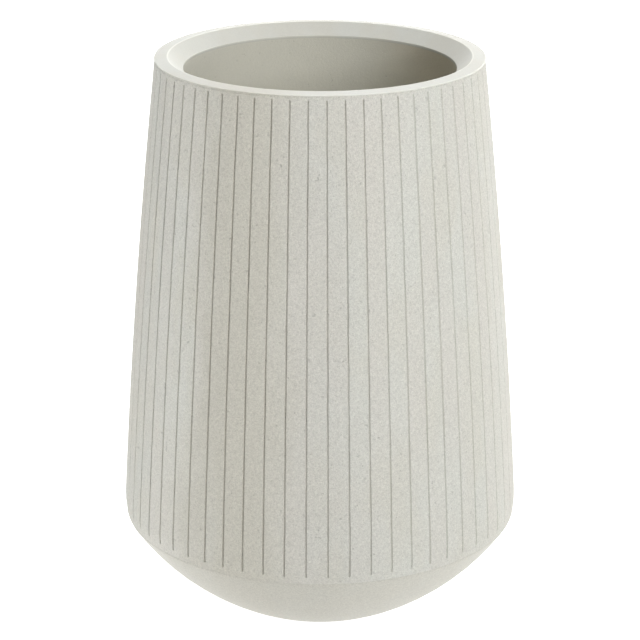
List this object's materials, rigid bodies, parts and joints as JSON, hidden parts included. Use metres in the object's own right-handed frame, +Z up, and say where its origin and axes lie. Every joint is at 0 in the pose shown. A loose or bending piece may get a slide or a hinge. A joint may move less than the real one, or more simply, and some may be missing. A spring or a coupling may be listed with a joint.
{
  "type": "planter",
  "caption": "Tall tapered planter with a rounded underside, engraved vertical lines, a sloped rim and a plugged drain hole.",
  "frame": {"origin": "middle of the flat base ring, on the plane that the planter stands on", "axes": "+Z up along the planter's axis of revolution, -Y towards the side that the picture shows"},
  "size_m": [0.3554, 0.3554, 0.502],
  "materials": {
    "cast_composite": "matte, fine sandy grain on the wall, smooth satin rim and underside",
    "plug_rubber": "matte"
  },
  "bodies": {
    "pot": {"pot_shell": "cast_composite"},
    "plug": {"drain_plug": "plug_rubber"}
  },
  "joints": [
    {"name": "plug_lift", "type": "slide", "parent": "pot", "child": "plug", "axis": [0, 0, 1], "range_m": [0, 0.06]}
  ]
}
